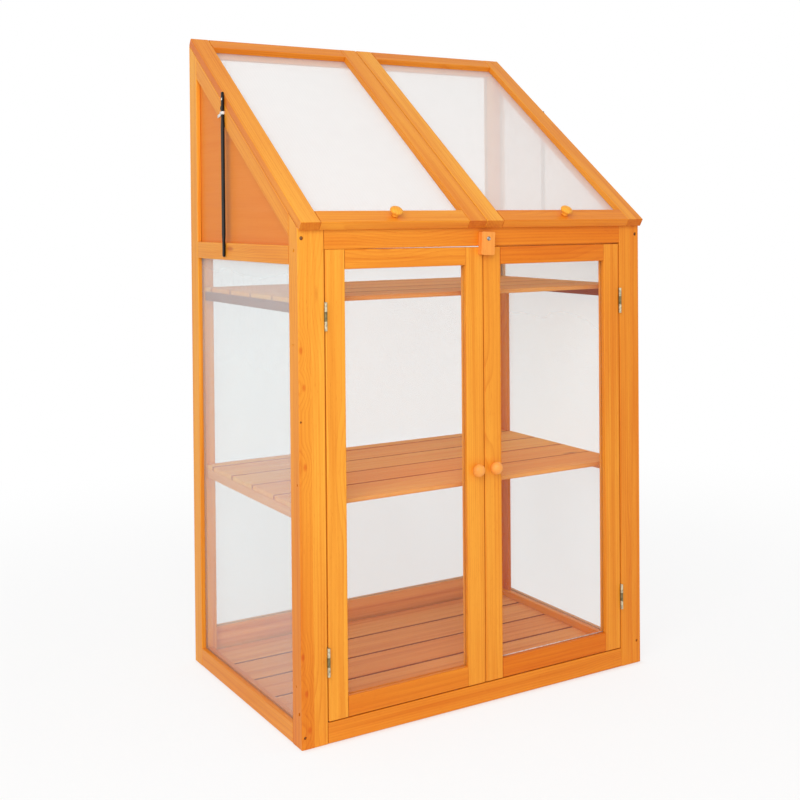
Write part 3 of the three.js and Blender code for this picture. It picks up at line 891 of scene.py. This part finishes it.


# boards from the back or the front, notched where something else of the frame stands
# the front edge is darkened, and painted shade darkens the board edges that face into the gaps and, where asked,
# the battens
def addDeck(node, setback, fromBack, notches=(), frontStain=0.0, battenStain=0.0):
    wood = slatWood if node == "floor" else shelfWood
    seed = deck["seeds"][node]
    low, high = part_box(node)
    front = low.y + setback
    under = high.z - deck["slatThick"]
    spans = spansFrom(high.y, low.y) if fromBack else spansFrom(front, high.y)
    dice = random.Random(seed)

    def fitted(piece, place, farSide):
        for start, end in notches:
            if start.y < farSide and start.x < place[1] and end.x > place[0]:
                carved(piece, blockMesh(start, end))
        return piece

    for number, (near, far) in enumerate(spans):
        corners = Vector((low.x, near, under)), Vector((high.x, far, high.z))
        mesh = boardMesh(*corners, deck["edge"], deck["warp"], seed + number)
        slat = fitted(linked(mesh, f"{camel(node)}Slat{number + 1}"), (low.x, high.x), far)
        sawn(evened(slat), alongX, dice.uniform(*deck["slatTones"]), seed + number, deck["slatPith"])
        edgeDarkening = [0.0] * len(slat.data.polygons)
        # painted shade on the edges that face into the gaps; the front edge gets its own darkening
        for face in slat.data.polygons:
            if abs(face.normal.y) > deck["edgeFacing"]:
                edgeDarkening[face.index] = 1.0 if face.center.y > front + deck["frontReach"] else frontStain
        stainAndShadeFaces(slat, edgeDarkening)
        settle(slat, "root", wood, [node])
    shapeSeed, woodSeed = (seed + more for more in deck["battenSeeds"])
    for side, x in (("Left", low.x), ("Right", high.x - deck["battenThick"])):
        end = x + deck["battenThick"]
        corners = Vector((x, low.y, low.z)), Vector((end, high.y, under - deck["battenGap"]))
        batten = linked(boardMesh(*corners, deck["edge"], 0.0, shapeSeed), f"{camel(node)}Batten{side}")
        fitted(batten, (x, end), high.y)
        sawn(evened(batten), alongY, deck["battenTone"], woodSeed + len(side), deck["battenPith"])
        stainAndShadeFaces(batten, [battenStain] * len(batten.data.polygons))
        settle(batten, "root", slatWood, [node])


# the floor goes round the rear posts, and the lower shelf round the batten in the rear right corner
cornerBatten = {"thick": 7.5 * mm, "sheetInner": 12 * mm}
notch = {"overrun": 20 * mm, "floorTop": 100 * mm}  # how far the cuts reach past what they cut
postLow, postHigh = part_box("rear_post_left")
floorNotches = []
for way in (-1, 1):
    near, far = way * (-postHigh.x - house["seam"]), way * house["width"] / 2
    start = Vector((min(near, far), postLow.y - house["seam"], -notch["overrun"]))
    end = Vector((max(near, far), postHigh.y + notch["overrun"], notch["floorTop"]))
    floorNotches.append((start, end))
notchX = house["width"] / 2 - cornerBatten["sheetInner"] - cornerBatten["thick"] - 2 * house["seam"]
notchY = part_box("rear_post_right")[0].y - house["seam"]
end = Vector((house["width"] / 2, postHigh.y + notch["overrun"], house["frontHeight"]))
shelfNotch = Vector((notchX, notchY, 0)), end
addDeck("floor", 0.0, True, floorNotches)
addDeck("shelf_lower", deck["shelfSetback"], False, [shelfNotch], frontStain=0.3)
addDeck("shelf_upper", deck["shelfSetback"], False, frontStain=0.5, battenStain=0.9)
print("decks laid")


# twin-wall sheets keep the CAD shape

glazing = {
    "back_sheet": backSheet,
    "side_sheet_left": sideSheet,
    "side_sheet_right": farSheet,
    "gable_panel_right": gableSheet,
    "door_sheet_left": doorSheet,
    "door_sheet_right": doorSheet,
    "lid_sheet_left": lidSheet,
    "lid_sheet_right": lidSheetRight,
}
for node, material in glazing.items():
    frame["nodes"][node].material_slots[0].material = material

# a pale strip along the right pane's lower edge, a painted highlight on the sheet's edge
sheetEdgeGlint = {"tall": 2.2 * mm, "thick": 0.3 * mm, "inset": 0.5 * mm, "lift": 0.2 * mm, "play": 0.02 * mm}


def addEdgeHighlight():
    railLow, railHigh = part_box("door_low_rail_right")
    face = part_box("door_sheet_right")[0].y
    low = Vector((railLow.x + sheetEdgeGlint["inset"], face - sheetEdgeGlint["thick"], railHigh.z + sheetEdgeGlint["lift"]))
    high = Vector((railHigh.x - sheetEdgeGlint["inset"], face - sheetEdgeGlint["play"], low.z + sheetEdgeGlint["tall"]))
    edge = linked(blockMesh(low, high), "doorFilmEdgeRight")
    settle(edge, bodyOf["door_sheet_right"], edgeGlintPaint)


addEdgeHighlight()
print("sheets glazed")


# turned knobs

knobShape = {
    "stem": 6 * mm,
    "neck": 5.2 * mm,
    "head": 11.2 * mm,
    "doorTall": 20 * mm,
    "doorHalf": 9.2 * mm,  # half the height of the head
    "lidTall": 16 * mm,
    "lidHalf": 5.6 * mm,
    "stemShares": (0.3, 0.7),  # of the way up to the head, where the stem ends and the neck begins
    "underside": 58,  # degrees of the ball below its middle
    "steps": 18,  # up the ball
    "roundSteps": 48,
    "tone": 0.9,
    "pith": 20 * mm,
    "seeds": {"door": 600, "lid": 610},
}


# a mushroom-headed profile: foot, waisted stem and flattened ball
def knobProfile(tall, half):
    stem, neck, head, steps = (knobShape[key] for key in ("stem", "neck", "head", "steps"))
    stemShare, neckShare = knobShape["stemShares"]
    underside = knobShape["underside"]
    centre = tall - half
    low = centre - half * math.sin(math.radians(underside))
    profile = [(0, 0), (stem, 0), (stem, low * stemShare), (neck, low * neckShare)]
    for step in range(steps + 1):
        turn = math.radians((90 + underside) * step / steps - underside)
        profile.append((head * math.cos(turn), centre + half * math.sin(turn)))
    profile[-1] = (0, tall)
    return profile


def addKnob(node, outward, tall, half, seed):
    base = middleOf(node) - outward * tall / 2
    piece = linked(turned(knobProfile(tall, half), base, outward, knobShape["roundSteps"]), camel(node))
    sawn(piece, outward, knobShape["tone"], seed, knobShape["pith"])
    stainAndShadeFaces(piece, [0.0] * len(piece.data.polygons))
    settle(piece, bodyOf[node], knobPine if node.startswith("door") else pine, [node])


for number, side in enumerate(sides):
    for kind, outward in (("door", -alongY), ("lid", offSlope)):
        tall, half = knobShape[kind + "Tall"], knobShape[kind + "Half"]
        addKnob(f"{kind}_knob_{side}", outward, tall, half, knobShape["seeds"][kind] + number)


# turn button

button = {
    "wide": 27 * mm,
    "thick": 12 * mm,
    "above": 12 * mm,
    "below": 29 * mm,
    "corner": 2.6 * mm,
    "cornerSteps": 6,
    "tilt": math.radians(3),
    "edge": 0.8 * mm,
    "edgeSteps": 3,
    "tone": -0.2,
    "seed": 620,
    "pith": 50 * mm,
    "screw": 3.6 * mm,
}


def jointAt(name):
    return Vector(next(joint["pos_m"] for joint in frame["joints"] if joint["name"] == name))


# hands back the point on its face where the screw sits
def addTurnButton():
    screwAt = jointAt("turn_button_pivot")
    low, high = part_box("turn_button")
    origin = Vector((screwAt.x, high.y, screwAt.z))
    tilt = Matrix.Rotation(button["tilt"], 3, "Y")
    right, up = tilt @ alongX, tilt @ alongZ
    half, corner = button["wide"] / 2, button["corner"]
    x, top, foot = half - corner, button["above"] - corner, corner - button["below"]
    outline = []
    for turn, (cornerX, cornerY) in enumerate(((x, top), (-x, top), (-x, foot), (x, foot))):
        outline += arc(cornerX, cornerY, corner, 90 * turn, 90 * (turn + 1), button["cornerSteps"])
    piece = linked(plate(outline, origin, right, up, button["thick"]), "turnButton")
    eased(piece, button["edge"], button["edgeSteps"])
    sawn(piece, up, button["tone"], button["seed"], button["pith"])
    settle(piece, "button", knobPine, ["turn_button"])
    return Vector((screwAt.x, low.y, screwAt.z))


# a pan head; all but the length that is sunk in the wood are shares of its radius or its height
screwHead = {
    "sunk": 0.2 * mm,
    "tallShare": 0.42,
    "rimShare": 0.35,
    "shoulderShares": (0.82, 0.8),
    "faceShare": 0.5,
    "slotWideShare": 0.1,
    "slotLongShare": 0.6,
    "slotFromShare": 0.3,
    "steps": 28,
}


# a pan-head screw with a cross cut in it
def crossScrew(name, at, outward, radius, body, material):
    tall = radius * screwHead["tallShare"]
    sunk = screwHead["sunk"]
    shoulder, shoulderUp = screwHead["shoulderShares"]
    profile = [(0, -sunk), (radius, -sunk), (radius, tall * screwHead["rimShare"])]
    profile += [(radius * shoulder, tall * shoulderUp), (radius * screwHead["faceShare"], tall), (0, tall)]
    head = linked(turned(profile, at, outward, screwHead["steps"]), name)
    half, long = radius * screwHead["slotWideShare"], radius * screwHead["slotLongShare"]
    outline = [(-long, -half), (long, -half), (long, half), (-long, half)]
    start = at + outward * tall * screwHead["slotFromShare"]
    side = outward.orthogonal().normalized()
    for arm in (side, outward.cross(side)):
        carved(head, plate(outline, start, arm, outward.cross(arm), radius))
    settle(head, body, material)


buttonFace = addTurnButton()
crossScrew("turnButtonScrew", buttonFace, -alongY, button["screw"], "button", steelScrew)
print("knobs and button turned")


# hinges keep the CAD shape, rounded

hinge = {"edge": 0.15 * mm, "edgeSteps": 1, "leastTurn": 60}  # a flatter edge, in degrees, isn't rounded
for node in frame["nodes"]:
    if "_hinge_" in node and "stile" not in node:
        piece = linked(copyOf(node), camel(node))
        eased(piece, hinge["edge"], hinge["edgeSteps"], hinge["leastTurn"])
        # the door halves get the darker zinc copy, as painted shade
        settle(piece, bodyOf[node], zincShaded if "door_half" in node else zinc, [node])


# stays

stay = {
    "wide": 9 * mm,
    "belly": 12.5 * mm,  # width of the long middle
    "bellyFrom": 34 * mm,  # below the pivot
    "bellyTo": 40 * mm,  # above the foot
    "taper": 14 * mm,
    "thick": 3.2 * mm,
    "heads": {"left": 13 * mm, "right": 6.5 * mm},
    "crown": 1.3 * mm,
    "crownSteps": 4,
    "corner": 2.2 * mm,
    "cornerSteps": 4,
    "footSteps": 12,
    "screw": 2.8 * mm,
    "screwSunk": 0.8 * mm,  # below the bar's face
}
# the catch, a small ear on the left bar's rear edge
catch = {
    "drop": 16 * mm,
    "wide": 9 * mm,
    "tall": 9 * mm,
    "thickShare": 0.7,
    "rootEase": 1 * mm,
    "edge": 0.5 * mm,
    "steps": 10,
}
# a white tie round the left stay: the bands lie on the bar, the tail hangs behind it
tie = {
    "drop": 25 * mm,
    "wide": 5.5 * mm,
    "thick": 0.4 * mm,
    "lock": 5 * mm,
    "tail": 17 * mm,
    "tailThick": 1 * mm,
    "bendShare": 0.5,
    "slant": 3 * mm,
    "slantShares": (0.3, 0.8),  # at the bend and at the end
    "rootShares": (0.3, 0.6),  # of the width, above and below the tail's root
}


def addStay(side):
    node = f"lid_stay_{side}"
    at = jointAt(f"stay_{side}_pivot")
    outward = -alongX if side == "left" else alongX
    back = at - outward * stay["thick"] / 2
    right = alongZ.cross(outward)
    half = stay["wide"] / 2
    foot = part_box(node)[0].z - at.z
    corner, steps = stay["corner"], stay["cornerSteps"]
    head = stay["heads"][side]
    outline = arc(half - corner, head - corner, corner, 0, 90, steps)
    outline += arc(corner - half, head - corner, corner, 90, 180, steps)
    belly, taper = stay["belly"] / 2, stay["taper"]
    upper, lower = -stay["bellyFrom"], foot + stay["bellyTo"]
    outline += [(-half, upper), (-belly, upper - taper), (-belly, lower), (-half, lower - taper)]
    outline += arc(0, foot + half, half, 180, 360, stay["footSteps"])
    outline += [(half, lower - taper), (belly, lower), (belly, upper - taper), (half, upper)]
    piece = linked(plate(outline, back, right, alongZ, stay["thick"]), camel(node))
    eased(piece, stay["crown"], stay["crownSteps"])
    settle(piece, f"stay_{side}", blackMetal, [node])
    screwAt = at + outward * (stay["thick"] / 2 - stay["screwSunk"])
    name = f"stayScrew{side.capitalize()}"
    # the screw head is white as a painted highlight where the screw catches the light
    crossScrew(name, screwAt, outward, stay["screw"], f"stay_{side}", tieNylon)
    return at, outward


def addCatch(at, body):
    middle = at + alongY * stay["wide"] / 2 - alongZ * catch["drop"]
    half, root = catch["tall"] / 2, -catch["wide"] / 2
    rootHalf = half - catch["rootEase"]
    outline = arc(0, 0, half, -90, 90, catch["steps"]) + [(root, rootHalf), (root, -rootHalf)]
    thick = stay["thick"] * catch["thickShare"]
    ear = linked(plate(outline, middle + alongX * thick / 2, alongY, alongZ, -thick), "stayCatch")
    settle(eased(ear, catch["edge"]), body, blackMetal)


def addTie(at, outward, body):
    middle = at - alongZ * tie["drop"]
    half, thick, wide = stay["wide"] / 2, tie["thick"], tie["wide"]
    face = stay["thick"] / 2
    meshes = []
    for x0, x1, y0, y1 in (
        (face, face + thick, -half - thick, half + thick),
        (-face - thick, -face, -half - thick, half + thick),
        (-face, face, -half - thick, -half),
        (-face, face, half, half + tie["lock"]),
    ):
        xs = sorted((outward.x * x0, outward.x * x1))
        low = middle + Vector((xs[0], y0, -wide / 2))
        meshes.append(blockMesh(low, middle + Vector((xs[1], y1, wide / 2))))
    tail, tailThick = tie["tail"], tie["tailThick"]
    bend = tail * tie["bendShare"]
    bendDrop, endDrop = (tie["slant"] * share for share in tie["slantShares"])
    above, below = (wide * share for share in tie["rootShares"])
    outline = [(0, above), (bend, -bendDrop), (tail, -endDrop)]
    outline += [(tail, -endDrop - wide), (bend, -bendDrop - wide), (0, -below)]
    start = middle + alongY * (half + tie["lock"] / 2) + alongX * tailThick / 2
    meshes.append(plate(outline, start, alongY, alongZ, -tailThick))
    band = linked(joinedMesh(meshes), "stayTie")
    settle(band, body, tieNylon)


for side in sides:
    pivotAt, outward = addStay(side)
    if side == "left":
        addCatch(pivotAt, "stay_left")
        addTie(pivotAt, outward, "stay_left")
print("metalwork dressed")


# floor, lights and camera

plainWhite = (1, 1, 1, 1)
stageLook = {
    "floor": paint(250, 250, 250),
    "near": 0.8,  # share of plain white close to the greenhouse, which fades to all white far off
    "fade": (0.5, 2.2),
    "rim": (-0.02, 0.01),  # from inside the greenhouse's edge to outside it, where the dark beneath it ends
    "drop": 0.4 * mm,
    "size": 12.0,
}


def addStage():
    work = bmesh.new()
    bmesh.ops.create_grid(work, x_segments=2, y_segments=2, size=stageLook["size"])
    bmesh.ops.translate(work, verts=work.verts, vec=(0, 0, -stageLook["drop"]))
    ground = linked(meshFrom(work, "studioFloor", turnOut=False), "studioFloor")
    shader = Shader(bpy.data.materials.new("paleFloor"))
    matt = shader.add("ShaderNodeBsdfDiffuse", sockets={"Color": stageLook["floor"]})
    glow = shader.add("ShaderNodeEmission", sockets={"Color": plainWhite, "Strength": 1.0})
    place = shader.add("ShaderNodeTexCoord", output="Object")
    far = shader.vectorMaths("LENGTH", place, output="Value")
    near = stageLook["near"]
    white = near + shader.ramped(far, *stageLook["fade"]) * (1 - near)
    x, y, _ = shader.parts(place)
    outX = shader.maths("ABSOLUTE", x) - house["width"] / 2
    outY = shader.maths("ABSOLUTE", y) - house["depth"] / 2
    outside = shader.ramped(shader.maths("MAXIMUM", outX, outY), *stageLook["rim"])
    share = shader.seenRays() * white * outside
    both = shader.add("ShaderNodeMixShader", sockets={0: share, 1: matt, 2: glow})
    shader.add("ShaderNodeOutputMaterial", sockets={"Surface": both})
    ground.data.materials.append(shader.owner)


world = {"soft": 0.64}  # how bright the white surroundings light the greenhouse


def addWorld():
    sky = bpy.data.worlds.new("studio")
    bpy.context.scene.world = sky
    shader = Shader(sky)
    soft = shader.add("ShaderNodeBackground", sockets={"Color": plainWhite, "Strength": world["soft"]})
    seen = shader.add("ShaderNodeBackground", sockets={"Color": plainWhite, "Strength": 1.0})
    both = shader.add("ShaderNodeMixShader", sockets={0: shader.seenRays(), 1: soft, 2: seen})
    shader.add("ShaderNodeOutputWorld", sockets={"Surface": both})


lamps = {
    "key": {"at": (-1.7, -2.1, 1.9), "size": 2.2, "power": 46, "warmth": (1.0, 0.99, 0.98)},
    "fill": {"at": (2.6, -2.4, 1.6), "size": 2.6, "power": 4, "warmth": (0.98, 0.99, 1.0)},
}
lampTarget = Vector((0, 0, 0.6))


def addLamps():
    for name, lamp in lamps.items():
        data = bpy.data.lights.new(name, "AREA")
        data.shape = "SQUARE"
        data.size = lamp["size"]
        data.energy = lamp["power"]
        data.color = lamp["warmth"]
        thing = bpy.data.objects.new(name, data)
        bpy.context.collection.objects.link(thing)
        thing.location = lamp["at"]
        thing.rotation_euler = (lampTarget - thing.location).to_track_quat("-Z", "Y").to_euler()


# the photograph's view, fitted to the greenhouse's corners
view = {
    "eye": (-1.16437, -2.08927, 0.85841),
    "azimuth": math.radians(34.0),
    "elevation": math.radians(-0.8),
    "roll": math.radians(-0.39),
    "picture": 800,  # pixels across
    "focal": 1245.35,  # pixels
    "middle": (521.44, 231.97),
    "sensor": 36.0,
}


def addCamera():
    azimuth, elevation, roll = view["azimuth"], view["elevation"], view["roll"]
    level = math.cos(elevation)
    ahead = Vector((math.sin(azimuth) * level, math.cos(azimuth) * level, math.sin(elevation)))
    flat = ahead.cross(alongZ).normalized()
    upright = flat.cross(ahead)
    right = flat * math.cos(roll) + upright * math.sin(roll)
    up = upright * math.cos(roll) - flat * math.sin(roll)
    data = bpy.data.cameras.new("photoCamera")
    data.sensor_width = view["sensor"]
    data.lens = view["focal"] / view["picture"] * view["sensor"]
    data.shift_x = 0.5 - view["middle"][0] / view["picture"]
    data.shift_y = view["middle"][1] / view["picture"] - 0.5
    camera = bpy.data.objects.new("photoCamera", data)
    bpy.context.collection.objects.link(camera)
    turn = Matrix((right, up, -ahead)).transposed().to_4x4()
    camera.matrix_world = Matrix.Translation(Vector(view["eye"])) @ turn
    bpy.context.scene.camera = camera


addStage()
addWorld()
addLamps()
addCamera()
bpy.context.scene.view_settings.view_transform = "Standard"
print("studio set")
